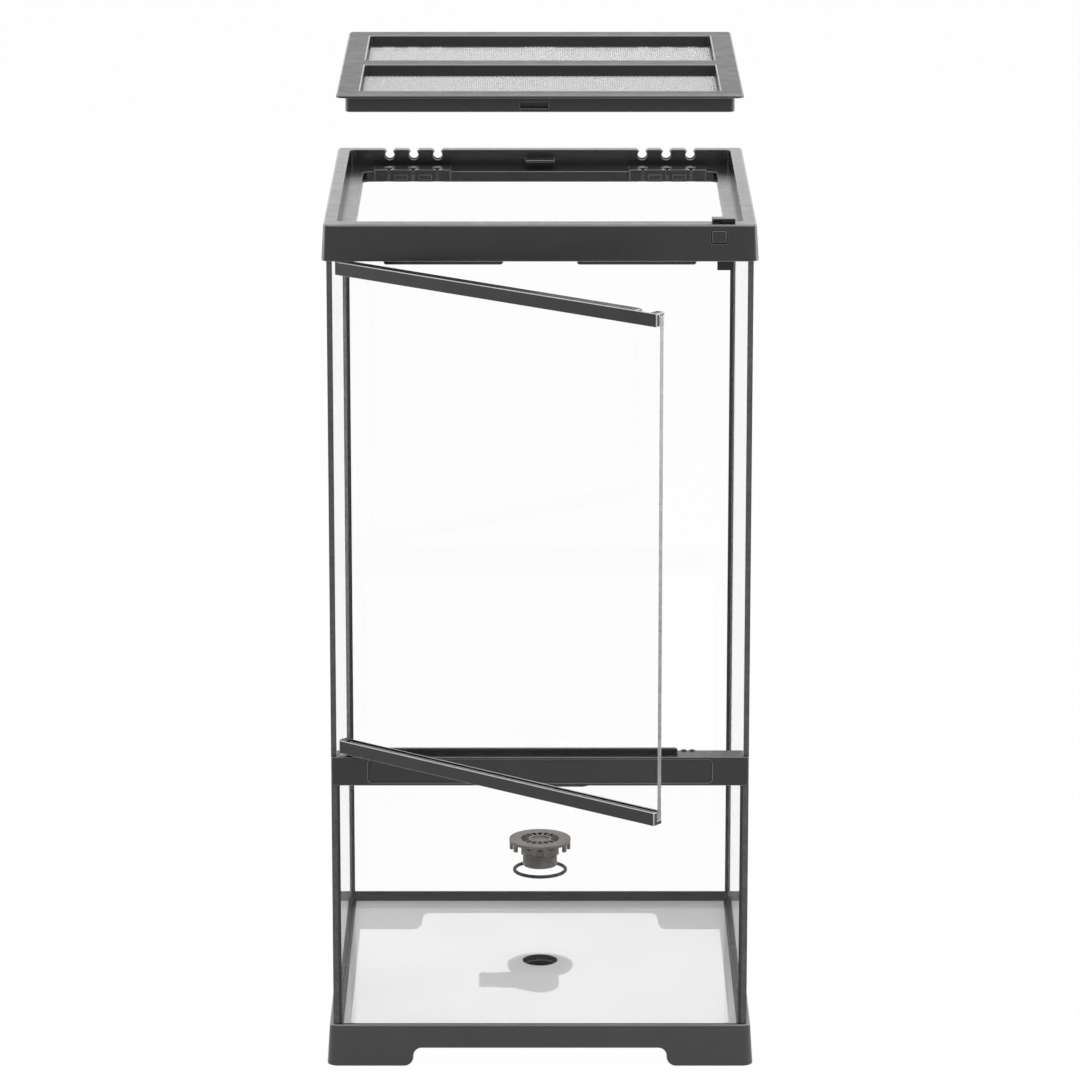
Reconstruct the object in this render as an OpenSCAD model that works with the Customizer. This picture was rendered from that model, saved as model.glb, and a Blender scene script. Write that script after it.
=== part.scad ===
// Tall front-opening reptile terrarium: a glass box in moulded frames, with a side-hung
// glass door, a lift-off screen lid and a floor drain.
// The origin is on the floor, under the middle of the glass box. +Y points to the back.

/* [Glass box] */
// Outside width of the glass box
glass_w = 300; // [290:1:320]
// Outside depth of the glass box
glass_d = 300; // [290:1:320]
// Thickness of every pane
pane_t = 4; // [3.5:0.5:4]
// Height of the top frame's rim above the floor
rim_z = 622; // [560:1:700]

/* [Frames] */
// Height of the bottom frame
base_h = 31; // [31:1:36]
// How far the bottom frame's sides lean in from floor to top
base_lean = 2; // [1:0.5:2.5]
// Height of the arch between two feet
arch_h = 13.5; // [10:0.5:16]
// Height of the top frame's outer band
band_h = 26; // [26:1:28]
// How far the top frame's sides lean in over the band
band_lean = 1.5; // [1:0.5:2]
// Depth of the ledge that the lid stands on, below the rim
ledge_drop = 12; // [12:0.5:13]
// Thickness of the moulded walls
wall = 2; // [1.5:0.25:2.5]

/* [Cross rail] */
// Height of the cross rail's top above the floor
cross_z = 233.8; // [180:0.1:300]
// Height of the cross rail
cross_h = 21.4; // [20:0.1:26]
// Depth of the cross rail, front to back
cross_d = 17.5; // [16:0.5:22]

/* [Door] */
// Angle at which the door stands open
door_open = 38.5; // [0:0.5:95]
// Thickness of the door's rails, front to back
rail_t = 9; // [9:0.5:10]
// Height of the door's rails
rail_h = 9.4; // [9:0.1:11]
// Gap under the closed door
door_gap = 2.6; // [2:0.1:4]

/* [Lid] */
// How far the lid is lifted above its seat
lid_lift = 88; // [0:1:150]
// Thickness of the lid's flange
lid_flange = 2.5; // [2:0.25:3]
// Height of the lid, flange and skirt together
lid_h = 13.3; // [13:0.1:13.5]
// Depth of the screens below the lid's top
screen_drop = 9; // [8:0.5:9.5]

/* [Drain] */
// Diameter of the drain hole in the base pane
drain_hole_d = 26.4; // [26:0.2:30]
// How far the strainer is lifted above its seat
strainer_lift = 89; // [0:1:150]
// How far the O-ring rises for each millimetre of the strainer
o_ring_ratio = 0.79; // [0.5:0.01:0.8]
// Diameter over the hose barbs
hose_d = 12; // [10:0.5:13]

/* [Hidden] */
$fn = 64;

plastic = [0.24, 0.24, 0.25];
black = [0.07, 0.07, 0.075];
clear = [0.86, 0.92, 0.9, 0.3];
steel = [0.6, 0.6, 0.62];
brown = [0.33, 0.31, 0.29];

eps = 0.01;                  // runs a cutter past a face
gap = 0.3;                   // between two pieces that move past each other
half_w = glass_w / 2;
half_d = glass_d / 2;
clear_w = half_w - pane_t;   // inside face of a side pane

// bottom frame
base_top_w = glass_w + 5.7;
base_top_d = glass_d + 5.7;
base_r = 8;
web_z = 22.5;                // underside of the web that carries the panes
pane_z = web_z + 2.5;        // the panes stand here
web_in = 12;                 // the web reaches this far in from the glass's outside
arch_half = glass_w / 2 - 58;
arch_r = 6;
foot_r = 7;

// silicone
seam_t = 1;                  // behind the side panes
front_seam_w = 2;            // beside the lower front pane
bead = 3;                    // leg of the beads along the base pane's sides and back
rear_bead_h = 7;
front_bead = 1;
corner_bead = 2;             // leg of the bead inside an upright corner
bead_lip = 0.3;              // a bead's thickness at its rims

// top frame
band_z = rim_z - band_h;
top_w = glass_w + 4;
top_d = glass_d + 4;
band_r = 6;
band_in_r = 2.5;             // tight enough to clear the corners of the glass box
recess_x = half_w - 7;       // the recess that the lid drops into
recess_front = -(half_d - 11);
recess_back = half_d - 7;
recess_r = 5;
ledge_z = rim_z - ledge_drop;
opening_x = half_w - 18;
opening_front = -(half_d - 22);
opening_back = half_d - 32;
opening_r = 6;
lip_z = ledge_z - 7.5;       // bottom of the rear ledge's front lip
floor_z = band_z + 0.4;      // underside of the hollow front band's floor
pane_top = rim_z - 9;
inner_wall_z = ledge_z - 8;

// cable inlets: notches in the rear rim, with gates on the ledge in front of them
inlet_x = [77, 95, 113];
inlet_r = 3.5;
inlet_z = rim_z - 4.2;
inlet_neck = 5;
gate_t = 1.2;
gate_back = half_d - 17.5;
gate_slit = 1;
gate_len = 58;
gate_mid = 95.5;

// door
hinge_x = -(half_w - 9);
hinge_y = -(half_d - 2);
rail_front = hinge_y - rail_t / 2;
rail_l = -(half_w - 7.5);
rail_r = half_w - 7.5;
rail_z0 = cross_z + door_gap;
rail_z1 = band_z - 0.4;
rail_wall = 1.3;
rail_back_wall = 1;
rail_plug = 5;               // solid length at the hinge end
glass_back = rail_front + rail_t - rail_back_wall;
glass_front = glass_back - pane_t;
pocket_wall = 0.8;
cavity_d = glass_front - pocket_wall - rail_front - rail_wall;
rail_web = 3;                // between a rail's outer face and the glass's edge
pin_r = 1.5;
pin_fit = 0.05;
bush_r = 2.75;
bush_h = 4.1;                // how far the lower bush stands above the cross rail

// latch
button_x = half_w - 24.4;
button_w = 10.2;
button_h = 8.8;
button_z = rim_z - 8.7;
button_ring = 0.7;
catch_x0 = half_w - 25.6;
catch_w = 11.2;
tooth_z = floor_z - 7.1;
tooth_y = rail_front + rail_wall + 0.35;
tooth_t = cavity_d - 0.7;
wedge_rise = 4 / 3;          // the catch rises this much for each millimetre of the button
button_front = -half_d - 2.2;
button_back = button_front + 4.6;
nose_l = 3.2;                // the nose behind the button is a wedge
nose_x = 3.4;                // right of the button's middle
nose_w = 3;
nose_z = button_z - 3.5;     // its underside
nose_tip = 0.3;
catch_y = recess_front - wall - gap;    // back of the catch
catch_d = 3;                 // posts and bar, front to back
catch_post = 2;
catch_foot_z = floor_z + 2 + gap;
catch_foot_h = 3;
catch_top = button_z - 0.8;
notch_z = rail_z1 - 2.7;
hood_x0 = half_w - 29.4;
hood_w = 16.4;
hood_h = 3.5;
hood_y0 = -(half_d - 2.5);
hood_roof = 0.9;
window_x0 = hood_x0 + 0.7;
window_w = 15;
window_d = 6.4;
lock_travel = 5.5;
lock_y0 = hood_y0 + 0.5;     // stem and tongue of the lock slider
lock_y1 = lock_y0 + 1.4;
lock_drop = 2;               // the tongue reaches this far below the band's top wall
lug_w = 2;                   // the button's lug, which the lock stops

// lid
lid_x = recess_x - gap;
lid_front = recess_front + gap;
lid_back = recess_back - 0.7;
lid_seat = ledge_z + gap;
lid_top = lid_seat + lid_h;
skirt_in = 6.4;
skirt_t = 2.3;
side_bar = 16.5;
end_bar = 17;
middle_bar = 18;
screen_lap = 2;
screen_t = 0.9;
screen_cells = [12, 6];      // openings across and along each screen
screen_share = 0.75;         // of a cell's width and depth that is open
screen_y = (lid_back - lid_front - 2 * end_bar - middle_bar) / 2;

// drain
flange_r = 23;
flange_t = 2;
leg_h = 5;
leg_count = 16;
leg_w = 3;
slot_count = 16;             // slots in the cap, each above a window in the neck
slot_in = 8.6;
slot_out = 14.2;
slot_h = 2.5;                // depth below the cap
spoke_w = 1.3;
tube_r = drain_hole_d / 2 - 0.3;
tube_l = 18.5;
tube_wall = 2.2;
thread_pitch = 1.5;
thread_depth = 0.5;
neck_window_w = 3;
neck_window_h = 3.8;
seat_z = pane_z + pane_t;    // top of the base pane
seat_gap = 0.1;              // between the base pane and what is lowered onto it
o_ring_t = 2.6;
o_ring_r = 20.35 - o_ring_t / 2;
body_top = pane_z - 0.8;
body_r = 24.5;
bowl_r = 14.35 + (drain_hole_d - 26.4) / 2;
body_z = 5;
flange_h = 3.2;              // of the drain body's flange
fillet_h = 2;                // under it
barb_z = body_z + hose_d / 2;
barb_end = -46;
barb_step = 5;
barb_n = 3;
barb_cut = 0.9;              // depth of a barb
collar_r = 7.5;              // the hose ends against this collar
collar_x = -bowl_r - 2;
outlet_r = hose_d / 2 - 2.2;
gasket_r = 18.3;
gasket_w = 2.4;
gasket_groove = 1.6;         // its depth

// ---- shared shapes ----

// A block with round upright corners, whose sides lean in evenly from bottom to top
module drafted(w, d, h, r, lean) {
    for (x = [-1, 1], y = [-1, 1])
        translate([x * (w / 2 - r), y * (d / 2 - r), 0])
            cylinder(r1 = r, r2 = r - lean, h = h);
    rotate([90, 0, 0]) linear_extrude(d - 2 * r, center = true) trapezium(w, h, lean);
    rotate([90, 0, 90]) linear_extrude(w - 2 * r, center = true) trapezium(d, h, lean);
}

module trapezium(w, h, lean) {
    polygon([[-w / 2, 0], [w / 2, 0], [w / 2 - lean, h], [-w / 2 + lean, h]]);
}

// A plate between two corners, with round upright corners
module round_plate(lo, hi, z0, z1, r) {
    translate([0, 0, z0]) linear_extrude(z1 - z0) round_rect(lo, hi, r);
}

module round_rect(lo, hi, r) {
    for (x = [lo[0] + r, hi[0] - r], y = [lo[1] + r, hi[1] - r])
        translate([x, y]) circle(r);
    translate([lo[0] + r, lo[1]]) square([hi[0] - lo[0] - 2 * r, hi[1] - lo[1]]);
    translate([lo[0], lo[1] + r]) square([hi[0] - lo[0], hi[1] - lo[1] - 2 * r]);
}

module box(lo, hi) {
    translate(lo) cube(hi - lo);
}

// Lays a profile drawn in (y, z) along X, from x0 to x1
module along_x(x0, x1) {
    translate([x0, 0, 0]) rotate([90, 0, 90]) linear_extrude(x1 - x0) children();
}

// Cuts a shape drawn in (x, z) through along Y, from y0 to y1
module along_y(y0, y1) {
    translate([0, y1, 0]) rotate([90, 0, 0]) linear_extrude(y1 - y0) children();
}

// ---- bottom frame and glass ----

// The opening between two feet: round at its top corners, flaring out to the floor
module arch(half, h) {
    difference() {
        union() {
            translate([-half - foot_r, -1]) square([2 * (half + foot_r), foot_r + 1]);
            translate([-half, -1]) square([2 * half, h - arch_r + 1]);
            translate([-half + arch_r, -1]) square([2 * (half - arch_r), h + 1]);
            for (s = [-1, 1]) translate([s * (half - arch_r), h - arch_r]) circle(arch_r);
        }
        for (s = [-1, 1]) translate([s * (half + foot_r), foot_r]) circle(foot_r);
    }
}

module bottom_frame() {
    w = base_top_w + 2 * base_lean;
    d = base_top_d + 2 * base_lean;
    lean_at_web = base_lean * web_z / base_h;
    color(plastic) difference() {
        drafted(w, d, base_h, base_r, base_lean);
        translate([0, 0, -eps])
            drafted(w - 2 * wall, d - 2 * wall, web_z + eps, base_r - wall, lean_at_web);
        box([-half_w, -half_d, pane_z], [half_w, half_d, base_h + 1]);
        round_plate([-half_w + web_in, -half_d + web_in], [half_w - web_in, half_d - web_in],
            0, base_h, opening_r);
        along_y(-d, d) arch(arch_half, arch_h);
        rotate([0, 0, 90]) along_y(-w, w) arch(half_d - 58, arch_h);
    }
}

module base_glass() {
    color(clear) difference() {
        box([-clear_w, -half_d + pane_t, pane_z], [clear_w, half_d - pane_t, seat_z]);
        translate([0, 0, pane_z - 1]) cylinder(d = drain_hole_d, h = pane_t + 2);
    }
}

module side_glass(side) {
    x = side < 0 ? -half_w : clear_w;
    color(clear)
        box([x, -half_d, pane_z], [x + pane_t, half_d - pane_t - seam_t, pane_top]);
}

module rear_glass() {
    color(clear) box([-half_w, half_d - pane_t, pane_z], [half_w, half_d, pane_top]);
}

module front_glass() {
    x = clear_w - front_seam_w;
    color(clear) box([-x, -half_d, pane_z], [x, -half_d + pane_t, cross_z - 10]);
}

module corner_seams() {
    y0 = -half_d + pane_t;
    y1 = half_d - pane_t;
    color(black) for (s = [0, 1]) mirror([s, 0, 0]) {
        box([clear_w, y1 - seam_t, pane_z], [half_w, y1, pane_top]);
        box([clear_w - front_seam_w, -half_d, pane_z], [clear_w, y0, cross_z - 10]);
        // beads inside the corners
        upright_bead(y1, 1, seat_z + rear_bead_h, inner_wall_z - 1);
        upright_bead(y0, 0, seat_z + bead, cross_z - cross_h - gap);
    }
}

// A bead in the corner at y, turned to grow forwards if flip is 1
module upright_bead(y, flip, z0, z1) {
    translate([clear_w, y, z0]) linear_extrude(z1 - z0)
        mirror([0, flip]) mirror([1, 0]) bead_section(corner_bead, corner_bead);
}

// A corner w wide and h high, hollowed by a finger
module bead_section(w, h) {
    r = (pow(w - bead_lip, 2) + pow(h - bead_lip, 2)) / 2 / (w - bead_lip);
    difference() {
        square([w, h]);
        translate([bead_lip + r, h]) circle(r);
    }
}

// Beads along the edges of the base pane: low at the front and tall at the back
module base_seam() {
    x = clear_w;
    y0 = -half_d + pane_t;
    y1 = half_d - pane_t;
    color(black) {
        for (s = [0, 1]) mirror([s, 0, 0]) translate([0, y0, seat_z]) rotate([90, 0, 0])
            mirror([0, 0, 1]) linear_extrude(y1 - y0)
                translate([x, 0]) mirror([1, 0]) bead_section(bead, bead);
        along_x(-x, x) translate([y0, seat_z]) bead_section(front_bead, front_bead);
        along_x(-x, x) translate([y1, seat_z]) mirror([1, 0]) bead_section(bead, rear_bead_h);
    }
}

// ---- cross rail ----

module cross_rail() {
    front = -half_d - 3;
    back = front + cross_d;
    z0 = cross_z - cross_h;
    slot_back = -half_d + pane_t + 0.1;
    slot_top = cross_z - 9.9;
    cover_x = glass_w / 2 - 27.4;
    cover_gap = 0.9;
    in_x = clear_w;
    rib_y = rail_front + rail_t + gap;
    rib_end = half_w - 51;
    color(plastic) difference() {
        union() {
            // the face, across the ends of the side panes
            box([-half_w + 0.3, front, z0], [half_w - 0.3, -half_d, cross_z]);
            // the channel on the lower front pane, and the ledge behind the door
            along_x(-in_x, in_x) polygon([
                [-half_d, slot_top], [slot_back, slot_top], [slot_back, z0],
                [slot_back + wall, z0], [slot_back + wall, cross_z - wall],
                [back - wall, cross_z - wall], [back - wall, cross_z - 8],
                [back, cross_z - 8], [back, cross_z], [-half_d, cross_z]
            ]);
            // the swell in the middle of the lower edge
            along_y(front, -half_d)
                polygon([[-35, z0], [-31.4, z0 - 0.9], [31.4, z0 - 0.9], [35, z0]]);
            // the rib that the closed door rests against, with one round end
            along_y(rib_y, rib_y + 1.8) {
                translate([-in_x + 3, cross_z]) square([rib_end + in_x - 5, 4]);
                translate([-in_x + 3, cross_z]) square([rib_end + in_x - 3, 2]);
                translate([rib_end - 2, cross_z + 2]) circle(2);
            }
            // low bumps on the ledge's back edge
            for (x = [half_w - 46.5, half_w - 40.5]) along_y(back - 2, back) intersection() {
                translate([x, cross_z - 3]) circle(4);
                translate([x - 4, cross_z - 1]) square([8, 3]);
            }
        }
        // the cover's recess, with a deeper gap at each end
        translate([0, front + 1.2, 0]) along_y(-1.3, 0)
            round_rect([-cover_x - cover_gap, z0 + 2.1], [cover_x + cover_gap, cross_z - 2.1], 3);
        // the lower hinge bush
        translate([hinge_x, hinge_y, cross_z - 6]) cylinder(r = bush_r, h = 7);
    }
}

module cross_rail_cover() {
    front = -half_d - 3;
    z0 = cross_z - cross_h;
    cover_x = glass_w / 2 - 27.4;
    color(plastic) difference() {
        along_y(front, front + 1.2)
            round_rect([-cover_x, z0 + 2.1], [cover_x, cross_z - 2.1], 3);
        // a raised border is left round a shallow panel
        along_y(front - 1, front + 0.3)
            round_rect([-cover_x + 1, z0 + 3.1], [cover_x - 1, cross_z - 3.1], 2);
    }
}

// ---- top frame ----

module keyhole() {
    for (s = [-1, 1], x = inlet_x) translate([s * x, 0]) {
        translate([0, inlet_z]) circle(inlet_r);
        translate([-inlet_neck / 2, inlet_z]) square([inlet_neck, rim_z - inlet_z + 1]);
        translate([0, rim_z + 0.4])
            polygon([[-4.4, 0], [-inlet_neck / 2, -2.2], [inlet_neck / 2, -2.2], [4.4, 0]]);
    }
}

// A stop tab under the front band, seen from the front
module stop_tab() {
    for (s = [0, 1]) mirror([s, 0]) {
        translate([26, band_z - 2.3]) square([84, 3]);
        translate([28, band_z - 4.3]) square([80, 3]);
        for (x = [28, 108]) translate([x, band_z - 2.3]) circle(2);
    }
}

module top_frame() {
    w = top_w + 2 * band_lean;
    d = top_d + 2 * band_lean;
    wall_x = recess_x + wall;
    stop_y = rail_front + rail_t + gap;
    floor_t = 2;
    color(plastic) difference() {
        union() {
            // the sloping band and the rim
            difference() {
                translate([0, 0, band_z]) drafted(w, d, band_h, band_r, band_lean);
                translate([0, 0, band_z - eps]) drafted(w - 2 * wall, d - 2 * wall,
                    band_h - wall + eps, band_in_r, band_lean * (band_h - wall) / band_h);
            }
            // the wall round the recess, and the ledge at its foot
            round_plate([-wall_x, recess_front - wall], [wall_x, recess_back + wall],
                inner_wall_z, rim_z - 1, recess_r + wall);
            // the floor of the hollow front band
            box([-clear_w + 0.5, -half_d - 2, floor_z], [clear_w - 0.5, opening_front, floor_z + floor_t]);
            // stop tabs behind the closed door
            along_y(stop_y, stop_y + 2) stop_tab();
            // the hood over the lock slider
            box([hood_x0, hood_y0, rim_z - 1], [hood_x0 + hood_w, recess_front - gap, rim_z + hood_h]);
        }
        round_plate([-recess_x, recess_front], [recess_x, recess_back], ledge_z, rim_z + 9, recess_r);
        round_plate([-opening_x, opening_front], [opening_x, opening_back],
            band_z - 9, rim_z, opening_r);
        // under the ledge: room behind the lips, and for the front band's works
        difference() {
            round_plate([-recess_x, recess_front], [recess_x, recess_back],
                floor_z + floor_t, ledge_z - wall, recess_r);
            round_plate([-opening_x - wall, opening_front - wall],
                [opening_x + wall, opening_back + wall], 0, rim_z, opening_r + wall);
        }
        along_y(half_d - 9, half_d + 9) keyhole();
        // slots in the rear ledge, which the gates cover or free
        for (s = [-1, 1], x = inlet_x)
            box([s * x - 3.2, opening_back - 1, lip_z - 1], [s * x + 3.2, half_d - 20, ledge_z + 1]);
        // the button's hole, the catch's slot and the lock's window and slot
        along_y(-half_d - 9, -half_d) round_rect(
            [button_x - button_w / 2 - button_ring, button_z - button_h / 2 - button_ring],
            [button_x + button_w / 2 + button_ring, button_z + button_h / 2 + button_ring], 1.5);
        box([catch_x0 - gap, tooth_y - gap, band_z - 1],
            [catch_x0 + catch_w + gap, tooth_y + tooth_t + gap, floor_z + 12]);
        box([window_x0, hood_y0 - 1, rim_z],
            [window_x0 + window_w, hood_y0 + window_d, rim_z + hood_h - hood_roof]);
        box([window_x0, lock_y0 - gap, rim_z - wall - 1],
            [window_x0 + window_w, lock_y1 + gap, rim_z + 1]);
        translate([hinge_x, hinge_y, floor_z - 1]) cylinder(r = bush_r, h = floor_t + 2);
    }
    // the tongue that the lid's rear skirt fits over
    color(plastic) box([-10.8, recess_back - 14.5, ledge_z + 4.4], [10.8, recess_back, ledge_z + 6.4]);
    // guides on both sides of the catch, inside the band
    color(plastic) for (x = [catch_x0 - gap - 1.5, catch_x0 + catch_w + gap])
        box([x, recess_front - 7, floor_z + floor_t],
            [x + 1.5, recess_front - wall, button_z - button_h / 2 - 0.6]);
}

// A gate: a plate on the rear ledge and a plate down its front, both slit at each inlet
module inlet_gate(side) {
    z0 = ledge_z + gap;
    front = opening_back - gap - 1.5;
    x0 = side * gate_mid - gate_len / 2;
    x1 = x0 + gate_len;
    color(plastic) difference() {
        union() {
            box([x0, front, z0], [x1, gate_back, z0 + gate_t]);
            box([x0, front, lip_z], [x1, front + 1.5, z0 + gate_t]);
            // pads between the slits, and grips at both ends
            for (x = [(inlet_x[0] + inlet_x[1]) / 2, (inlet_x[1] + inlet_x[2]) / 2])
                box([side * x - 5, front - 0.6, lip_z + 1.4], [side * x + 5, front, lip_z + 5.4]);
            for (x = [x0, x1 - 1.2]) box([x, front - 1.2, lip_z], [x + 1.2, front, z0 + gate_t]);
        }
        for (x = inlet_x) translate([side * x, 0, 0]) {
            box([-gate_slit / 2, front - 2, lip_z - 1], [gate_slit / 2, front + 2, z0 + 3]);
            translate([0, 0, z0 - 1]) linear_extrude(4)
                polygon([[-gate_slit / 2, front], [gate_slit / 2, front],
                    [3.4, front + 9], [3.4, front + 11], [-3.4, front + 11], [-3.4, front + 9]]);
        }
    }
}

// ---- hinge ----

module upper_hinge_bush() {
    color("white") translate([hinge_x, hinge_y, floor_z]) difference() {
        cylinder(r = bush_r, h = 5);
        translate([0, 0, -1]) cylinder(r = pin_r + pin_fit, h = 7);
    }
}

module lower_hinge_bush() {
    color("white") translate([hinge_x, hinge_y, cross_z - 6]) difference() {
        cylinder(r = bush_r, h = 6 + bush_h - 0.3);
        translate([0, 0, 1]) cylinder(r = pin_r + pin_fit, h = 12);
    }
}

module swung() {
    translate([hinge_x, hinge_y, 0]) rotate([0, 0, -door_open])
        translate([-hinge_x, -hinge_y, 0]) children();
}

module upper_hinge_pin() {
    color(steel) swung() translate([hinge_x, hinge_y, rail_z1 - 6])
        cylinder(r = pin_r, h = 6 + floor_z - rail_z1 + 4);
}

module lower_hinge_pin() {
    color(steel) swung() translate([hinge_x, hinge_y, cross_z - 4])
        cylinder(r = pin_r, h = 4 + bush_h + 4);
}

// ---- door ----

// Half of a rail's section lies in front of the glass: a wall, a groove and the glass pocket.
// It is drawn in (y, z) with the closed side at z = 0.
module rail_section(h, hollow) {
    difference() {
        translate([rail_front, 0]) square([rail_t, h]);
        if (hollow) translate([rail_front + rail_wall, 1.2]) square([cavity_d, h]);
        translate([glass_front, rail_web]) square([pane_t, h]);
    }
}

// A rail of the door, hollow in front of the glass where the catch reaches in
module rail(h, hollow) {
    along_x(rail_l + rail_plug, rail_r) rail_section(h, hollow);
    difference() {
        box([rail_l, rail_front, 0], [rail_l + rail_plug, rail_front + rail_t, h]);
        for (y = [rail_front, rail_front + rail_t]) translate([rail_l, y, -1])
            rotate([0, 0, 45]) cube([2.2, 2.2, 3 * h], center = true);
    }
}

module door_top_rail() {
    color(plastic) swung() difference() {
        translate([0, 0, rail_z1]) mirror([0, 0, 1]) rail(rail_h, true);
        box([catch_x0 - 0.6, rail_front + rail_wall, notch_z],
            [catch_x0 + catch_w + 0.6, rail_front + rail_t + 1, rail_z1 + 1]);
        translate([hinge_x, hinge_y, rail_z1 - 6]) cylinder(r = pin_r, h = 7);
    }
}

module door_bottom_rail() {
    relief = bush_r + 0.4;
    color(plastic) swung() difference() {
        translate([0, 0, rail_z0]) rail(rail_h, false);
        // clears the bush
        translate([hinge_x, hinge_y, rail_z0 - 1])
            cylinder(r = relief, h = cross_z + bush_h - rail_z0 + 1);
        box([rail_l - 1, rail_front - 1, rail_z0 - 1],
            [hinge_x, rail_front + rail_t + 1, cross_z + bush_h]);
        translate([hinge_x, hinge_y, rail_z0]) cylinder(r = pin_r, h = cross_z + bush_h + 4 - rail_z0);
    }
}

module door_glass() {
    color(clear) swung() box([rail_l + rail_plug, glass_front, rail_z0 + rail_web],
        [rail_r, glass_back, rail_z1 - rail_web]);
}

// ---- latch ----

module latch_button() {
    w = button_w / 2;
    top = button_z + button_h / 2;
    color(plastic) translate([button_x, 0, 0]) {
        along_y(button_front, button_back) round_rect([-w, button_z - button_h / 2], [w, top], 1);
        // the wedge that lifts the catch
        along_x(nose_x - nose_w / 2, nose_x + nose_w / 2) polygon([
            [button_back - 0.1, nose_z], [button_back + nose_l, nose_z],
            [button_back + nose_l, nose_line(button_back + nose_l)],
            [button_back - 0.1, nose_line(button_back - 0.1)]
        ]);
        // the lug that the lock stops
        box([-w, button_back - 1.4, top - 0.1], [-w + lug_w, button_back + 0.2, rim_z - wall - gap]);
    }
}

// Height of the nose's sloping top, and of that slope carried on behind it
function nose_line(y) = nose_z + nose_tip + (button_back + nose_l - y) * wedge_rise;

module latch_catch() {
    x1 = catch_x0 + catch_w;
    foot_top = catch_foot_z + catch_foot_h;
    y0 = catch_y - catch_d;
    color(black) {
        // the tooth, ribbed on its face
        difference() {
            box([catch_x0, tooth_y, tooth_z], [x1, tooth_y + tooth_t, foot_top]);
            for (i = [1 : 3]) box([catch_x0 + i * catch_w / 4 - 0.5, tooth_y - 1, tooth_z + 1],
                [catch_x0 + i * catch_w / 4 + 0.5, tooth_y + 0.3, floor_z - 0.6]);
        }
        box([catch_x0, tooth_y, catch_foot_z], [x1, catch_y, foot_top]);
        // two posts, and between them the sloping bar that the nose pushes up
        for (x = [catch_x0, x1 - catch_post])
            box([x, y0, catch_foot_z], [x + catch_post, catch_y, catch_top]);
        along_x(catch_x0, x1) polygon([
            [y0, nose_line(y0) + 0.5], [catch_y, nose_line(catch_y) + 0.5],
            [catch_y, catch_top], [y0, catch_top]
        ]);
    }
}

// A compression coil between the catch and the rim
module catch_spring() {
    z0 = catch_top;
    z1 = rim_z - wall;
    r = 1.2;
    wire = 0.22;
    turns = 4;
    steps = 18;
    sides = 8;
    rise = z1 - z0 - 2 * wire;
    n = turns * steps;
    points = [for (i = [0 : n], k = [0 : sides - 1])
        let (a = 360 * i / steps, b = 360 * k / sides, q = r + wire * cos(b))
        [q * cos(a), q * sin(a), z0 + wire + rise * i / n + wire * sin(b)]];
    faces = concat(
        [for (i = [0 : n - 1], k = [0 : sides - 1])
            let (a = i * sides + k, b = i * sides + (k + 1) % sides) [a, a + sides, b + sides, b]],
        [[for (k = [0 : sides - 1]) k]],
        [[for (k = [sides - 1 : -1 : 0]) n * sides + k]]
    );
    color(steel) translate([catch_x0 + catch_w / 2, catch_y - catch_d / 2, 0])
        polyhedron(points, faces);
}

module lock_slider() {
    x1 = window_x0 + window_w - 0.5;
    x0 = x1 - (window_w - lock_travel - 1);
    tongue_x = button_x - button_w / 2 + lock_travel;
    tongue_z = rim_z - wall - lock_drop;
    color(black) {
        box([x0, hood_y0 + gap, rim_z + gap],
            [x1, hood_y0 + window_d - 1, rim_z + hood_h - hood_roof - gap]);
        box([x0, lock_y0, tongue_z], [x1, lock_y1, rim_z + 1]);
        // the tongue that stands behind the button's lug when the slider is shut
        box([tongue_x, lock_y0, tongue_z], [x1, lock_y1, rim_z - wall - gap]);
    }
}

// ---- lid ----

module lid_opening(y0, grow, z0, z1) {
    x = lid_x - side_bar + grow;
    round_plate([-x, y0 - grow], [x, y0 + screen_y + grow], z0, z1, 2 + grow);
}

module lid_frame() {
    top = lid_top + lid_lift;
    seat = lid_seat + lid_lift;
    skirt_x = lid_x - skirt_in;
    slot_x0 = -14;
    slot_x1 = 5.8;
    slot_depth = 4.5;
    y0 = lid_front + skirt_in;
    y1 = lid_back - skirt_in;
    openings = [lid_front + end_bar, lid_front + end_bar + screen_y + middle_bar];
    color(plastic) difference() {
        union() {
            round_plate([-lid_x, lid_front], [lid_x, lid_back], top - lid_flange, top, 5);
            difference() {
                round_plate([-skirt_x, y0], [skirt_x, y1], seat, top - 1, 4);
                round_plate([-skirt_x + skirt_t, y0 + skirt_t], [skirt_x - skirt_t, y1 - skirt_t],
                    seat - 1, top - lid_flange, 2);
            }
            for (y = openings) lid_opening(y, 2.2, top - screen_drop, top - 1);
            // the back of the slot in the front skirt
            box([slot_x0 - wall, y0 + 1, top - 12], [slot_x1 + wall, y0 + slot_depth + wall, top - 1]);
        }
        for (y = openings) lid_opening(y, 0, seat - 1, top + 1);
        // the slot in the front skirt
        box([slot_x0, y0 - 1, top - 10.6], [slot_x1, y0 + slot_depth, top - 6.2]);
        // the notch over the rear tongue
        box([-11.4, y1 - 9, seat - 1], [11.4, y1 + 1, ledge_z + lid_lift + 6.4 + gap]);
        // cable ways under the rear skirt
        for (s = [-1, 1], x = inlet_x)
            box([s * x - 4, y1 - 9, seat - 1], [s * x + 4, y1 + 1, seat + 6]);
    }
}

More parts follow.
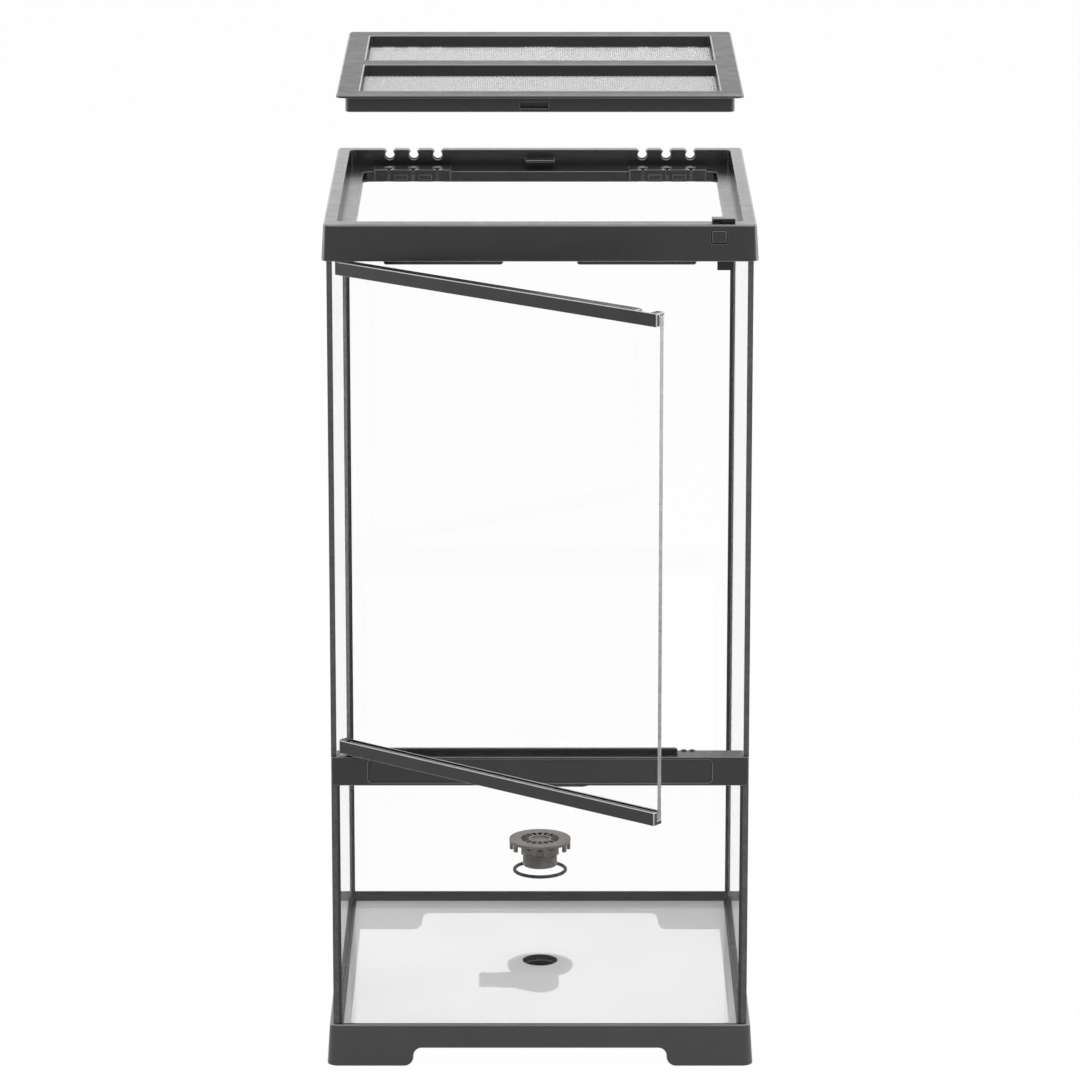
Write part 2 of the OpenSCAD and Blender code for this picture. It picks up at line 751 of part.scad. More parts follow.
module screen(i) {
    y0 = lid_front + end_bar + i * (screen_y + middle_bar);
    z1 = lid_top + lid_lift - screen_drop;
    x0 = side_bar - lid_x;
    cell = [-2 * x0 / screen_cells[0], screen_y / screen_cells[1]];
    color(steel) difference() {
        lid_opening(y0, screen_lap, z1 - screen_t, z1);
        for (column = [0.5 : screen_cells[0]], row = [0.5 : screen_cells[1]])
            translate([x0 + column * cell[0], y0 + row * cell[1], z1 - screen_t - 1])
                linear_extrude(screen_t + 2) square(cell * screen_share, center = true);
    }
}

// ---- drain ----

module drain_strainer() {
    flange_z = seat_z + leg_h;   // before it is lifted
    window_z = flange_z - 5;
    ring_n = floor((tube_l - 7) / thread_pitch);
    z0 = flange_z - tube_l;
    thread = [for (i = [0 : ring_n - 1]) each [
        [tube_r - thread_depth, z0 + i * thread_pitch],
        [tube_r, z0 + (i + 0.5) * thread_pitch]
    ]];
    neck = z0 + ring_n * thread_pitch;
    color(brown) translate([0, 0, strainer_lift + seat_gap]) difference() {
        union() {
            translate([0, 0, flange_z]) cylinder(r = flange_r, h = flange_t);
            rotate_extrude() polygon(concat(
                [[tube_r - tube_wall, z0]], thread,
                [[tube_r - thread_depth, neck], [tube_r - thread_depth, flange_z + 0.5],
                    [tube_r - tube_wall, flange_z + 0.5]]
            ));
            // feet round the rim
            intersection() {
                translate([0, 0, seat_z]) difference() {
                    cylinder(r = flange_r, h = leg_h + 0.5);
                    translate([0, 0, -1]) cylinder(r = o_ring_r + o_ring_t / 2 + 0.5, h = leg_h + 3);
                }
                for (i = [0 : leg_count / 2 - 1]) rotate([0, 0, (i + 0.5) * 360 / leg_count])
                    translate([-30, -leg_w / 2, seat_z]) cube([60, leg_w, leg_h + 1]);
            }
        }
        // the dished middle and the ring of slots
        translate([0, 0, flange_z + 1]) cylinder(r1 = 6.2, r2 = 7.4, h = flange_t);
        translate([0, 0, flange_z - slot_h]) difference() {
            cylinder(r = slot_out, h = slot_h + flange_t + 1);
            translate([0, 0, -1]) cylinder(r = slot_in, h = slot_h + flange_t + 3);
            for (i = [0 : slot_count / 2 - 1]) rotate([0, 0, (i + 0.5) * 360 / slot_count])
                translate([-slot_out - 1, -spoke_w / 2, -1])
                    cube([2 * slot_out + 2, spoke_w, slot_h + flange_t + 3]);
        }
        // windows in the neck
        for (i = [0 : slot_count / 2 - 1]) rotate([0, 0, i * 360 / slot_count])
            translate([-tube_r - 1, -neck_window_w / 2, window_z])
                cube([2 * tube_r + 2, neck_window_w, neck_window_h]);
    }
}

module strainer_o_ring() {
    color(black) translate([0, 0, seat_z + seat_gap + o_ring_t / 2 + o_ring_ratio * strainer_lift])
        rotate_extrude() translate([o_ring_r, 0]) circle(d = o_ring_t, $fn = 24);
}

module drain_body() {
    bore_r = tube_r + 0.15;
    flange_z = body_top - flange_h;
    barb_r = hose_d / 2;
    barbs_l = barb_n * barb_step;
    color(brown) difference() {
        union() {
            rotate_extrude() polygon([
                [0, body_z], [bowl_r - 2, body_z], [bowl_r, body_z + 2], [bowl_r, flange_z - fillet_h],
                [bowl_r + fillet_h, flange_z], [body_r - 0.6, flange_z], [body_r, flange_z + 0.6],
                [body_r, body_top], [0, body_top]
            ]);
            translate([barb_end, 0, barb_z]) rotate([0, 90, 0]) rotate_extrude() polygon(concat(
                [[0, 0]],
                [for (i = [0 : barb_n - 1], p = [[-barb_cut, 0], [0, barb_step - 0.8],
                    [-barb_cut, barb_step - 0.8]]) [barb_r + p[0], i * barb_step + p[1]]],
                [[barb_r - barb_cut, barbs_l], [barb_r, barbs_l], [barb_r, -barb_end - bowl_r + 4],
                    [0, -barb_end - bowl_r + 4]]
            ));
            translate([collar_x, 0, barb_z]) rotate([0, 90, 0]) cylinder(r = collar_r, h = 6);
        }
        translate([0, 0, body_z + 2]) cylinder(r = bore_r - 1.4, h = 30);
        translate([0, 0, barb_z + 1]) cylinder(r = bore_r, h = 30);
        translate([barb_end - 1, 0, barb_z]) rotate([0, 90, 0])
            cylinder(r = outlet_r, h = -barb_end - bowl_r + 8);
        // the gasket's groove
        translate([0, 0, body_top - gasket_groove]) difference() {
            cylinder(r = gasket_r + gasket_w / 2, h = gasket_groove + 1);
            translate([0, 0, -1]) cylinder(r = gasket_r - gasket_w / 2, h = gasket_groove + 3);
        }
    }
}

module drain_gasket() {
    h = pane_z - body_top + gasket_groove;
    color(black) translate([0, 0, body_top - gasket_groove]) difference() {
        cylinder(r = gasket_r + gasket_w / 2, h = h);
        translate([0, 0, -1]) cylinder(r = gasket_r - gasket_w / 2, h = h + 2);
    }
}

bottom_frame();
base_glass();
side_glass(-1);  // left_glass
side_glass(1);  // right_glass
rear_glass();
front_glass();
corner_seams();
base_seam();
cross_rail();
cross_rail_cover();
top_frame();
upper_hinge_bush();
lower_hinge_bush();
drain_body();
drain_gasket();
door_glass();
door_top_rail();
door_bottom_rail();
upper_hinge_pin();
lower_hinge_pin();
lid_frame();
screen(0);  // front_screen
screen(1);  // rear_screen
drain_strainer();
strainer_o_ring();
latch_button();
latch_catch();
catch_spring();
lock_slider();
inlet_gate(-1);  // left_inlet_gate
inlet_gate(1);  // right_inlet_gate
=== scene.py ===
"""The reptile terrarium's finish, light and camera. Lengths are in metres."""
import math

import bpy
import numpy as np
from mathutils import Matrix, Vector


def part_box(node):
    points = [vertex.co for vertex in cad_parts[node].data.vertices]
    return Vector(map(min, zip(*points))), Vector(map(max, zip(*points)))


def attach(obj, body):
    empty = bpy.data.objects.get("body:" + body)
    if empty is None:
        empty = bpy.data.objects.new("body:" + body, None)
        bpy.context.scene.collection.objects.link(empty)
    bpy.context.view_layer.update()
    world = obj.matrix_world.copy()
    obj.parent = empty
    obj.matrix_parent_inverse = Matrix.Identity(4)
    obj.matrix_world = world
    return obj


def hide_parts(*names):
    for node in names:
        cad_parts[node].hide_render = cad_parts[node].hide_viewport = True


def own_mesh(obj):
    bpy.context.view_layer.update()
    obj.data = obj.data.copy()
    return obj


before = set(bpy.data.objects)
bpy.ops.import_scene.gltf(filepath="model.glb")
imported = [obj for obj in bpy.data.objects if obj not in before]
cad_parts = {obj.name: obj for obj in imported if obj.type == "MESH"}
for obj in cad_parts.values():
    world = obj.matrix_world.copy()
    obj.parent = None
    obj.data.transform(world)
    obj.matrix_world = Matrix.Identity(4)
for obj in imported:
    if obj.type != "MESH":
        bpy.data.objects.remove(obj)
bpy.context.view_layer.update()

# ---- driving values ----

CAMERA_AT = (0, -3.9144, 1.3557)
CAMERA_TILT = 75.666  # degrees from straight down
CAMERA_LENS = 182.25  # mm
CAMERA_SENSOR = 36  # mm wide
CAMERA_REACH = 60  # as far as it sees

WORLD_LIGHT = 0.75  # strength of the world on matt surfaces
FLOOR_GLOW = 0.98  # share of the floor that shows as white whatever falls on it
FLOOR_GREY = 0.7  # the floor's own colour, which shows in its shadow
FLOOR_REACH = 14  # half of the floor's side
LIT_POINT = (0, 0, 0.4)  # which the softboxes face
SOFTBOXES = (  # name, place, width and height, radiance
    ("key", (1.4, -1.5, 2.0), (1.0, 1.0), 9.0),
    ("top", (0, 0.3, 2.4), (1.4, 1.4), 4.0),
    ("back", (0, 2.6, 1.25), (2.6, 0.9), 0.5),
    ("left", (-1.6, 0.3, 0.5), (1.2, 1.4), 3.6),
    ("right", (1.6, 0.3, 0.5), (1.2, 1.4), 4.2),
)

MM = 0.001
PANE_IOR = 1.2  # real glass has 1.52, and mirrors more than the photo shows
DOOR_IOR = 1.06  # lower still, or noise from the mirrored floor speckles the dark cross rail
GLASS_TINT = (0.99, 0.992, 0.99, 1)
FLOOR_PANE_CLEAR = 0.42  # share of the light that passes the haze on the floor's pane
NOISE_MIDDLE = (0.3, 0.7)  # the range in which most of a noise lies
PLASTIC_IOR = 1.46
DARK_PLASTIC_IOR = 1.36
FINE_GRAIN = 0.01 * MM
COARSE_GRAIN = 0.03 * MM
SATIN = (0.2, 0.26)  # roughness, from low to high
HALF_MATT = (0.3, 0.4)

EDGE_ANGLE = math.radians(32)  # a sharper corner than this is rounded
FLAT_ANGLE = math.radians(0.4)  # faces that turn by less than this are joined
JOIN_REACH = 0.002 * MM
ALONG_SIDE = 0.9  # how far a face's normal agrees with its pane's, at least
FACING = 0.5  # how far a face's normal agrees with a direction that it faces, at least
DRAIN_REACH = 14.5 * MM  # from the drain's axis to the outer end of the cap's slots
WIRE_PITCH = 1.6 * MM
WIRE_R = 0.2 * MM
GLASS_NODES = ("base_glass", "left_glass", "right_glass", "rear_glass", "front_glass", "door_glass")

# How far each node's outer corners are rounded, in mm
ROUNDED = {
    "bottom_frame": 1.0, "cross_rail": 0.45, "cross_rail_cover": 0.25, "top_frame": 1.2,
    "lid_frame": 1.1, "door_top_rail": 0.5, "door_bottom_rail": 0.5, "latch_button": 0.45,
    "left_inlet_gate": 0.35, "right_inlet_gate": 0.35, "latch_catch": 0.2, "lock_slider": 0.2,
    "drain_body": 0.25, "lower_hinge_bush": 0.15, "upper_hinge_bush": 0.15,
}
# Where there is less room: the middle and half size of a box, and the share that fits in it
TIGHTER = {
    "bottom_frame": [((0, 0, 0), (1, 1, 0.030), 0.5), ((0, 0, 0), (0.1505, 0.1505, 1), 0.2)],
    "top_frame": [
        ((0, 0, 0), (1, 1, 0.6215), 0.42), ((0, 0, 0), (0.1505, 0.1505, 1), 0.42),
        ((0.131, -0.150, 0.612), (0.014, 0.010, 0.016), 0.15),
    ],
    "lid_frame": [
        ((0, 0, 0), (1, 1, 0.7112), 0.5), ((0, -0.145, 0.704), (0.020, 0.015, 0.0055), 0.2),
    ],
    "door_top_rail": [
        ((0, 0, 0), (1, 1, 0.587), 0.35), ((-0.141, -0.148, 0.591), (0.010, 0.010, 0.010), 0.25),
    ],
    "door_bottom_rail": [
        ((0, 0, 0), (1, 1, 0.237), 0.35), ((-0.141, -0.148, 0.241), (0.010, 0.010, 0.010), 0.25),
    ],
}
# Painted highlights: the paler finish of a node's rounded corners, in place of the light that falls
# on them
EDGE_HIGHLIGHT_FINISH = {
    "door_top_rail": "rail_painted_highlight", "door_bottom_rail": "rail_painted_highlight",
    "latch_button": "charcoal_painted_highlight", "cross_rail": "charcoal_painted_highlight",
    "left_inlet_gate": "charcoal_painted_highlight", "right_inlet_gate": "charcoal_painted_highlight",
    "top_frame": "charcoal_painted_highlight", "bottom_frame": "charcoal_painted_highlight", "lid_frame": "charcoal_painted_highlight",
}
# Nodes with a finish apart from the others of their slot: the door's pane has its own index, and
# two frames of the same plastic as the rest are painted, lid_frame with a darker, rougher copy as
# painted shade and bottom_frame with a paler copy as painted light
OWN_FINISH = {
    "door_glass": "door_clear_glass", "lid_frame": "shaded_matt_charcoal", "bottom_frame": "lit_pale_charcoal",
}


# ---- node helpers ----

def srgb(level, *more):
    """Linear colour of one grey level or three channel levels, each 0 to 255."""
    levels = (level, *more) if more else (level,) * 3
    linear = [(v / 255 / 12.92) if v <= 10 else ((v / 255 + 0.055) / 1.055) ** 2.4 for v in levels]
    return (*linear, 1)


class Finish:
    """A Principled material with the node set-ups that the finishes share."""

    def __init__(self, name, **sockets):
        self.material = bpy.data.materials.new(name)
        self.material.use_nodes = True
        self.tree = self.material.node_tree
        self.shader = self.tree.nodes["Principled BSDF"]
        for socket, value in sockets.items():
            self.shader.inputs[socket.replace("_", " ")].default_value = value
        self.place = self.add("ShaderNodeTexCoord").outputs["Object"]
        self.normal = None

    def add(self, kind, **settings):
        node = self.tree.nodes.new(kind)
        for name, value in settings.items():
            if name in node.inputs:
                node.inputs[name].default_value = value
            else:
                setattr(node, name, value)
        return node

    def link(self, source, target):
        self.tree.links.new(source, target)

    def noise(self, size, detail, stretch=(1, 1, 1)):
        """Noise whose features are about size metres across."""
        mapping = self.add("ShaderNodeMapping")
        mapping.inputs["Scale"].default_value = [v / size for v in stretch]
        self.link(self.place, mapping.inputs["Vector"])
        noise = self.add("ShaderNodeTexNoise", Scale=1.0, Detail=detail)
        self.link(mapping.outputs["Vector"], noise.inputs["Vector"])
        return noise.outputs["Fac"]

    def spread(self, fac, low, high):
        """fac's middle range, laid from low to high."""
        node = self.add("ShaderNodeMapRange")
        ends = (*NOISE_MIDDLE, low, high)
        for name, value in zip(("From Min", "From Max", "To Min", "To Max"), ends):
            node.inputs[name].default_value = value
        self.link(fac, node.inputs["Value"])
        return node.outputs["Result"]

    def colour(self, fac, dark, light):
        """A base colour that goes from dark to light over fac's middle range."""
        ramp = self.add("ShaderNodeValToRGB")
        for end, place, colour in zip(ramp.color_ramp.elements, NOISE_MIDDLE, (dark, light)):
            end.position = place
            end.color = colour
        self.link(fac, ramp.inputs["Fac"])
        self.link(ramp.outputs["Color"], self.shader.inputs["Base Color"])

    def roughness(self, fac, low, high):
        self.link(self.spread(fac, low, high), self.shader.inputs["Roughness"])

    def bump(self, height, depth, strength):
        """Adds a bump of depth metres on top of the ones already there."""
        bump = self.add("ShaderNodeBump", Strength=strength, Distance=depth)
        self.link(height, bump.inputs["Height"])
        if self.normal:
            self.link(self.normal, bump.inputs["Normal"])
        self.normal = bump.outputs["Normal"]
        self.link(self.normal, self.shader.inputs["Normal"])


# ---- finishes ----

def moulded_plastic(name, dark, light, rough=SATIN, grain=FINE_GRAIN, ior=PLASTIC_IOR):
    """Satin plastic with a spark-eroded grain and the soft waves of a thin moulding."""
    finish = Finish(name, IOR=ior)
    finish.colour(finish.noise(0.03, 4), dark, light)
    finish.roughness(finish.noise(0.012, 3), *rough)
    finish.bump(finish.noise(0.06, 1), 0.0006, 0.12)
    finish.bump(finish.noise(0.0006, 2), grain, 0.5)
    return finish.material


def clear_glass(name, ior):
    """Clear glass. An index below that of real glass keeps its gloss down."""
    finish = Finish(name, IOR=ior, Roughness=0.0, Transmission_Weight=1.0)
    finish.shader.inputs["Base Color"].default_value = GLASS_TINT
    return finish.material


def painted_haze_glass():
    """The top of the floor's pane: a pale haze of painted light, uneven in tone, that makes the
    pane show almost white.
    """
    finish = Finish("painted_haze_glass", IOR=PANE_IOR, Roughness=0.0,
                    Transmission_Weight=FLOOR_PANE_CLEAR)
    finish.colour(finish.noise(0.05, 4), (0.96, 0.96, 0.96, 1), (0.99, 0.99, 0.99, 1))
    return finish.material


def glass_edge(name, dark, light):
    """A ground edge: fine scratches along the pane, over dark glass."""
    finish = Finish(name, IOR=1.5)
    finish.colour(finish.noise(0.004, 3), dark, light)
    finish.roughness(finish.noise(0.002, 2), 0.25, 0.4)
    finish.bump(finish.noise(0.0005, 2, (1, 1, 0.2)), 0.00003, 0.5)
    return finish.material


def silicone(name, level):
    """A tooled bead, with the slow waves that a finger leaves."""
    finish = Finish(name, IOR=1.42)
    finish.colour(finish.noise(0.01, 3), srgb(level - 4), srgb(level + 5))
    finish.roughness(finish.noise(0.006, 2), 0.3, 0.45)
    finish.bump(finish.noise(0.008, 2), 0.0004, 0.4)
    return finish.material


def rubber():
    finish = Finish("black_rubber", IOR=1.5)
    finish.colour(finish.noise(0.004, 3), srgb(30), srgb(40))
    finish.roughness(finish.noise(0.003, 2), 0.5, 0.65)
    finish.bump(finish.noise(0.0004, 3), 0.00004, 0.5)
    return finish.material


def nylon():
    finish = Finish("natural_nylon", IOR=1.53, Subsurface_Weight=0.25, Subsurface_Scale=0.002)
    finish.colour(finish.noise(0.003, 3), srgb(206, 202, 188), srgb(222, 219, 208))
    finish.roughness(finish.noise(0.002, 2), 0.35, 0.45)
    finish.bump(finish.noise(0.0007, 2), 0.00003, 0.5)
    return finish.material


def steel(name, level, rough, grain):
    """Drawn wire and ground pins: fine lines round a bright metal."""
    finish = Finish(name, Metallic=1.0)
    finish.colour(finish.noise(0.003, 3), srgb(level - 10), srgb(level + 8))
    finish.roughness(finish.noise(0.001, 3), *rough)
    finish.bump(finish.noise(grain, 2, (1, 1, 4)), 0.00001, 0.4)
    return finish.material


FINISHES = {
    "charcoal_plastic": moulded_plastic("charcoal_plastic", srgb(30, 30, 31), srgb(34, 34, 35)),
    # A paler copy of the charcoal plastic: painted light on bottom_frame
    "lit_pale_charcoal": moulded_plastic("lit_pale_charcoal", srgb(50, 50, 51), srgb(54, 54, 55)),
    # A darker, rougher copy of the charcoal plastic: painted shade on lid_frame
    "shaded_matt_charcoal": moulded_plastic(
        "shaded_matt_charcoal", srgb(23, 23, 24), srgb(27, 27, 28), (0.38, 0.45)),
    # Paler copies of the charcoal plastic: painted highlights on rounded corners
    "charcoal_painted_highlight": moulded_plastic("charcoal_painted_highlight", srgb(104, 104, 105), srgb(110, 110, 111)),
    "rail_painted_highlight": moulded_plastic(
        "rail_painted_highlight", srgb(172, 172, 173), srgb(182, 182, 183), (0.3, 0.36)),
    "black_plastic": moulded_plastic(
        "black_plastic", srgb(14), srgb(20), HALF_MATT, ior=DARK_PLASTIC_IOR),
    "drain_plastic": moulded_plastic(
        "drain_plastic", srgb(88, 81, 75), srgb(102, 95, 88), HALF_MATT, COARSE_GRAIN),
    # Painted shadow: the dark tone of the drain's insides
    "drain_painted_shadow": moulded_plastic(
        "drain_painted_shadow", srgb(30, 28, 26), srgb(38, 35, 32), (0.4, 0.5), COARSE_GRAIN),
    "clear_glass": clear_glass("clear_glass", PANE_IOR),
    "door_clear_glass": clear_glass("door_clear_glass", DOOR_IOR),
    "black_silicone": silicone("black_silicone", 34),
    "black_rubber": rubber(),
    "natural_nylon": nylon(),
    "steel": steel("steel", 190, (0.22, 0.34), 0.0004),
    "screen_mesh": steel("screen_mesh", 158, (0.38, 0.5), 0.0008),
}


def dress_nodes():
    """Each node takes the finish of its slot's name, or its own one."""
    for name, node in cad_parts.items():
        for slot in node.material_slots:
            slot.material = FINISHES[OWN_FINISH.get(name) or slot.material.name.split(".")[0]]


def add_material(mesh, material):
    """The new slot's index."""
    mesh.materials.append(material)
    return len(mesh.materials) - 1


def darken_drain():
    """Darkens the drain's insides, in place of the shadow that the photo shows there.

    They are the upright faces near its axis that don't look outwards.
    """
    for name in ("drain_strainer", "drain_body"):
        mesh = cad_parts[name].data
        inside = add_material(mesh, FINISHES["drain_painted_shadow"])
        for face in mesh.polygons:
            across = Vector((face.center.x, face.center.y, 0))
            upright = abs(face.normal.z) < FACING
            looks_out = face.normal.dot(across.normalized()) >= FACING
            if across.length < DRAIN_REACH and upright and not looks_out:
                face.material_index = inside


def mark_edges(node, material):
    """The faces of a pane that don't lie along its two sides get the edge finish."""
    mesh = node.data
    areas = {}
    for face in mesh.polygons:
        key = tuple(round(v, 2) for v in face.normal)
        areas[key] = areas.get(key, 0) + face.area
    side = Vector(max(areas, key=areas.get))
    edge = add_material(mesh, material)
    for face in mesh.polygons:
        if abs(face.normal.dot(side)) < ALONG_SIDE:
            face.material_index = edge


def dress_glass():
    """The panes' edges, the door pane's painted lighter, and the painted pale haze on top of the
    floor's pane.
    """
    dark_edge = glass_edge("dark_pane_edge", srgb(52), srgb(68))
    # The door pane's edges take a paler copy of the same ground edge: painted light
    lit_edge = glass_edge("lit_door_pane_edge", srgb(96), srgb(124))
    for name in GLASS_NODES:
        mark_edges(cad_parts[name], lit_edge if name == "door_glass" else dark_edge)
    # The pane's top faces take the painted pale haze
    floor_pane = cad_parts["base_glass"].data
    haze = add_material(floor_pane, painted_haze_glass())
    for face in floor_pane.polygons:
        if face.normal.z > ALONG_SIDE:
            face.material_index = haze


# ---- rounded edges ----

def geometry_group(name):
    """An empty geometry node group with its input and output nodes."""
    group = bpy.data.node_groups.new(name, "GeometryNodeTree")
    for side in ("INPUT", "OUTPUT"):
        group.interface.new_socket("Geometry", in_out=side, socket_type="NodeSocketGeometry")
    return group, group.nodes.new("NodeGroupInput"), group.nodes.new("NodeGroupOutput")


def join_chain(group, chain):
    for a, b in zip(chain, chain[1:]):
        group.links.new(a.outputs["Geometry"], b.inputs["Geometry"])


def joined_faces():
    """Geometry nodes that join the faces' doubled corners and shade them smooth."""
    group, start, end = geometry_group("joined_faces")
    strip = group.nodes.new("GeometryNodeRemoveAttribute")
    strip.inputs["Name"].default_value = "custom_normal"
    merge = group.nodes.new("GeometryNodeMergeByDistance")
    merge.inputs["Distance"].default_value = JOIN_REACH
    smooth = group.nodes.new("GeometryNodeSetShadeSmooth")
    join_chain(group, [start, strip, merge, smooth, end])
    return group


def compared(group, operation, value, limit):
    node = group.nodes.new("FunctionNodeCompare")
    node.operation = operation
    group.links.new(value, node.inputs["A"])
    node.inputs["B"].default_value = limit
    return node.outputs["Result"]


def inside_box(group, middle, half):
    """True for an edge whose middle lies in the box."""
    place = group.nodes.new("GeometryNodeInputPosition").outputs["Position"]
    for operation, value in (("SUBTRACT", middle), ("ABSOLUTE", None), ("DIVIDE", half)):
        step = group.nodes.new("ShaderNodeVectorMath")
        step.operation = operation
        group.links.new(place, step.inputs[0])
        if value:
            step.inputs[1].default_value = value
        place = step.outputs["Vector"]
    parts = group.nodes.new("ShaderNodeSeparateXYZ")
    group.links.new(place, parts.inputs[0])
    largest = parts.outputs["X"]
    for axis in "YZ":
        larger = group.nodes.new("ShaderNodeMath")
        larger.operation = "MAXIMUM"
        group.links.new(largest, larger.inputs[0])
        group.links.new(parts.outputs[axis], larger.inputs[1])
        largest = larger.outputs[0]
    return compared(group, "LESS_THAN", largest, 1.0)


def edge_weights(tighter):
    """Geometry nodes that weigh the outer corners for the bevel, by the share in each box.

    The inner corners stay sharp in the shading.
    """
    group, start, end = geometry_group("edge_weights")
    angle = group.nodes.new("GeometryNodeInputMeshEdgeAngle").outputs["Signed Angle"]
    store = group.nodes.new("GeometryNodeStoreNamedAttribute")
    store.domain = "EDGE"
    store.inputs["Name"].default_value = "bevel_weight_edge"
    store.inputs["Value"].default_value = 1.0
    weight = None
    for middle, half, share in tighter:
        choice = group.nodes.new("GeometryNodeSwitch")
        choice.input_type = "FLOAT"
        choice.inputs["False"].default_value = 1.0
        choice.inputs["True"].default_value = share
        if weight:
            group.links.new(weight, choice.inputs["False"])
        group.links.new(inside_box(group, middle, half), choice.inputs["Switch"])
        weight = choice.outputs["Output"]
    if weight:
        group.links.new(weight, store.inputs["Value"])
    group.links.new(compared(group, "GREATER_THAN", angle, EDGE_ANGLE), store.inputs["Selection"])
    crease = group.nodes.new("GeometryNodeSetShadeSmooth")
    crease.domain = "EDGE"
    crease.inputs["Shade Smooth"].default_value = False
    group.links.new(compared(group, "LESS_THAN", angle, -EDGE_ANGLE), crease.inputs["Selection"])
    join_chain(group, [start, store, crease, end])
    return group


def round_edges(node, width, joined, tighter):
    """Rounds a node's outer corners, by a share of width inside the tighter boxes.

    Returns the bevel.
    """
    node.modifiers.new("joined_faces", "NODES").node_group = joined
    flat = node.modifiers.new("whole_flats", "DECIMATE")
    flat.decimate_type = "DISSOLVE"
    flat.angle_limit = FLAT_ANGLE
    node.modifiers.new("edge_weights", "NODES").node_group = edge_weights(tighter)
    bevel = node.modifiers.new("rounded_edges", "BEVEL")
    bevel.width = width
    bevel.segments = 2
    bevel.limit_method = "WEIGHT"
    bevel.use_clamp_overlap = False
    bevel.loop_slide = False
    bevel.harden_normals = True
    return bevel


def round_all():
    joined = joined_faces()
    for name, width in ROUNDED.items():
        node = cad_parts[name]
        bevel = round_edges(node, width * MM, joined, TIGHTER.get(name, ()))
        # Some nodes get a paler finish on their rounded corners: a painted highlight
        if name in EDGE_HIGHLIGHT_FINISH:
            bevel.material = add_material(node.data, FINISHES[EDGE_HIGHLIGHT_FINISH[name]])


# ---- screens ----

def woven(name, low, high):
    """Plain-weave wire cloth between two corners: each wire goes over and under the next."""
    middle = (low[2] + high[2]) / 2
    counts = [int((high[i] - low[i] - 2 * WIRE_R) / WIRE_PITCH) for i in (0, 1)]
    starts = [(low[i] + high[i]) / 2 - counts[i] * WIRE_PITCH / 2 for i in (0, 1)]
    points, faces = [], []
    ring = np.array([(1, 0), (0, 1), (-1, 0), (0, -1)]) * WIRE_R
    for along, across in ((0, 1), (1, 0)):
        steps = np.arange(counts[along] + 1)
        ends = np.array([low[along], *(starts[along] + steps * WIRE_PITCH), high[along]])
        for wire in range(counts[across] + 1):
            height = np.where((steps + wire + along) % 2, WIRE_R, -WIRE_R)
            height = np.array([0, *height, 0])
            rings = np.zeros((len(ends), 4, 3))
            rings[:, :, along] = ends[:, None]
            rings[:, :, across] = starts[across] + wire * WIRE_PITCH + ring[None, :, 0]
            rings[:, :, 2] = middle + height[:, None] + ring[None, :, 1]
            first = len(points) * 4
            points.extend(rings.reshape(-1, 4, 3))
            for step in range(len(ends) - 1):
                for side in range(4):
                    a = first + step * 4
                    quad = (a + side, a + (side + 1) % 4, a + 4 + (side + 1) % 4, a + 4 + side)
                    faces.append(quad if along else quad[::-1])
            last = first + (len(ends) - 1) * 4
            caps = [(first + 3, first + 2, first + 1, first), (last, last + 1, last + 2, last + 3)]
            faces.extend(caps if along else [cap[::-1] for cap in caps])
    mesh = bpy.data.meshes.new(name)
    mesh.from_pydata(np.array(points).reshape(-1, 3).tolist(), [], faces)
    piece = bpy.data.objects.new(name, mesh)
    bpy.context.scene.collection.objects.link(piece)
    mesh.materials.append(FINISHES["screen_mesh"])
    return piece


def screens():
    for node in ("front_screen", "rear_screen"):
        piece = woven(f"{node}_weave", *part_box(node))
        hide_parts(node)
        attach(piece, "lid")


def catch_coil():
    """The coil over the catch, a copy of the spring that moves with the catch."""
    coil = bpy.data.objects.new("catch_coil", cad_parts["catch_spring"].data.copy())
    bpy.context.scene.collection.objects.link(coil)
    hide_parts("catch_spring")
    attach(coil, "catch")
    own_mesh(coil)


# ---- stage, light and camera ----

def seen_directly(tree):
    """1 for rays from the camera, or by gloss or glass, and 0 for the rest."""
    path = tree.nodes.new("ShaderNodeLightPath")
    total = path.outputs["Is Camera Ray"]
    for name in ("Is Glossy Ray", "Is Transmission Ray"):
        join = tree.nodes.new("ShaderNodeMath")
        join.operation = "MAXIMUM"
        tree.links.new(total, join.inputs[0])
        tree.links.new(path.outputs[name], join.inputs[1])
        total = join.outputs[0]
    return total


def light_world():
    world = bpy.data.worlds.new("studio")
    bpy.context.scene.world = world
    world.use_nodes = True
    tree = world.node_tree
    background = tree.nodes["Background"]
    background.inputs["Color"].default_value = (1, 1, 1, 1)
    strength = tree.nodes.new("ShaderNodeMapRange")
    strength.inputs["To Min"].default_value = WORLD_LIGHT
    strength.inputs["To Max"].default_value = 1.0
    tree.links.new(seen_directly(tree), strength.inputs["Value"])
    tree.links.new(strength.outputs["Result"], background.inputs["Strength"])


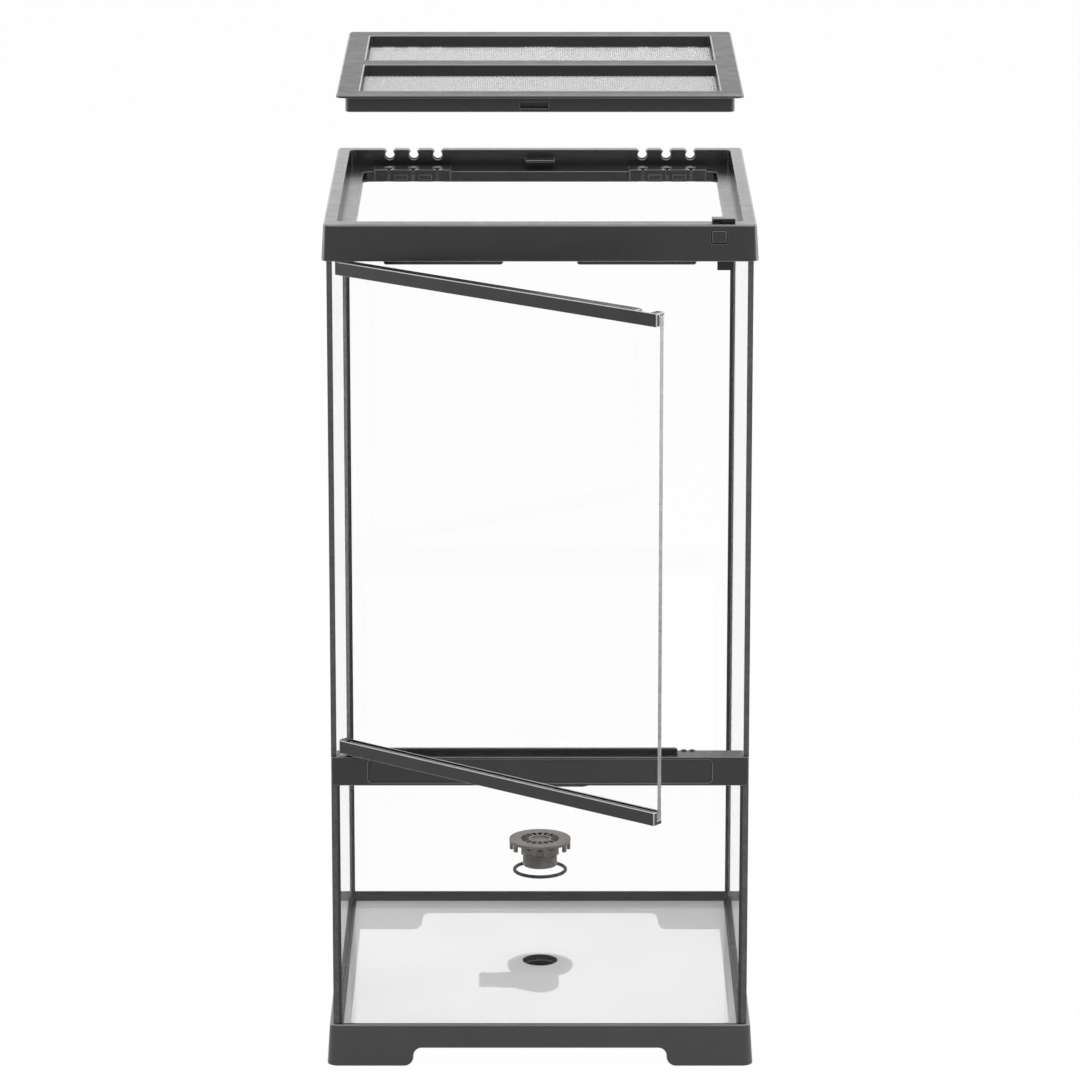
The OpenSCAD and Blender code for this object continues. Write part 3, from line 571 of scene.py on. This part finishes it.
def lay_floor():
    mesh = bpy.data.meshes.new("floor")
    r = FLOOR_REACH
    mesh.from_pydata([(-r, -r, 0), (r, -r, 0), (r, r, 0), (-r, r, 0)], [], [(0, 1, 2, 3)])
    floor = bpy.data.objects.new("floor", mesh)
    bpy.context.scene.collection.objects.link(floor)
    material = bpy.data.materials.new("floor")
    material.use_nodes = True
    tree = material.node_tree
    tree.nodes.remove(tree.nodes["Principled BSDF"])
    matt = tree.nodes.new("ShaderNodeBsdfDiffuse")
    matt.inputs["Color"].default_value = (FLOOR_GREY, FLOOR_GREY, FLOOR_GREY, 1)
    glow = tree.nodes.new("ShaderNodeEmission")
    share = tree.nodes.new("ShaderNodeMath")
    share.operation = "MULTIPLY"
    share.inputs[1].default_value = FLOOR_GLOW
    mix = tree.nodes.new("ShaderNodeMixShader")
    tree.links.new(seen_directly(tree), share.inputs[0])
    tree.links.new(share.outputs[0], mix.inputs["Fac"])
    tree.links.new(matt.outputs[0], mix.inputs[1])
    tree.links.new(glow.outputs[0], mix.inputs[2])
    tree.links.new(mix.outputs[0], tree.nodes["Material Output"].inputs["Surface"])
    mesh.materials.append(material)


def lamp(name, at, size, radiance):
    """A softbox that faces the object. It lights, but isn't seen itself nor through the glass."""
    light = bpy.data.lights.new(name, "AREA")
    light.shape = "RECTANGLE"
    light.size, light.size_y = size
    light.energy = radiance * math.pi * size[0] * size[1]
    holder = bpy.data.objects.new(name, light)
    holder.location = at
    holder.rotation_euler = (Vector(LIT_POINT) - Vector(at)).to_track_quat("-Z", "Y").to_euler()
    holder.visible_camera = False
    holder.visible_transmission = False
    bpy.context.scene.collection.objects.link(holder)


def light_lamps():
    for name, at, size, radiance in SOFTBOXES:
        lamp(name, at, size, radiance)


def set_camera():
    camera = bpy.data.cameras.new("camera")
    camera.lens = CAMERA_LENS
    camera.sensor_width = CAMERA_SENSOR
    camera.clip_end = CAMERA_REACH
    holder = bpy.data.objects.new("camera", camera)
    holder.location = CAMERA_AT
    holder.rotation_euler = (math.radians(CAMERA_TILT), 0, 0)
    bpy.context.scene.collection.objects.link(holder)
    bpy.context.scene.camera = holder


# ---- the scene ----

set_camera()
light_world()
lay_floor()
light_lamps()
dress_nodes()
dress_glass()
darken_drain()
round_all()
screens()
catch_coil()

bpy.context.scene.view_settings.view_transform = "Standard"
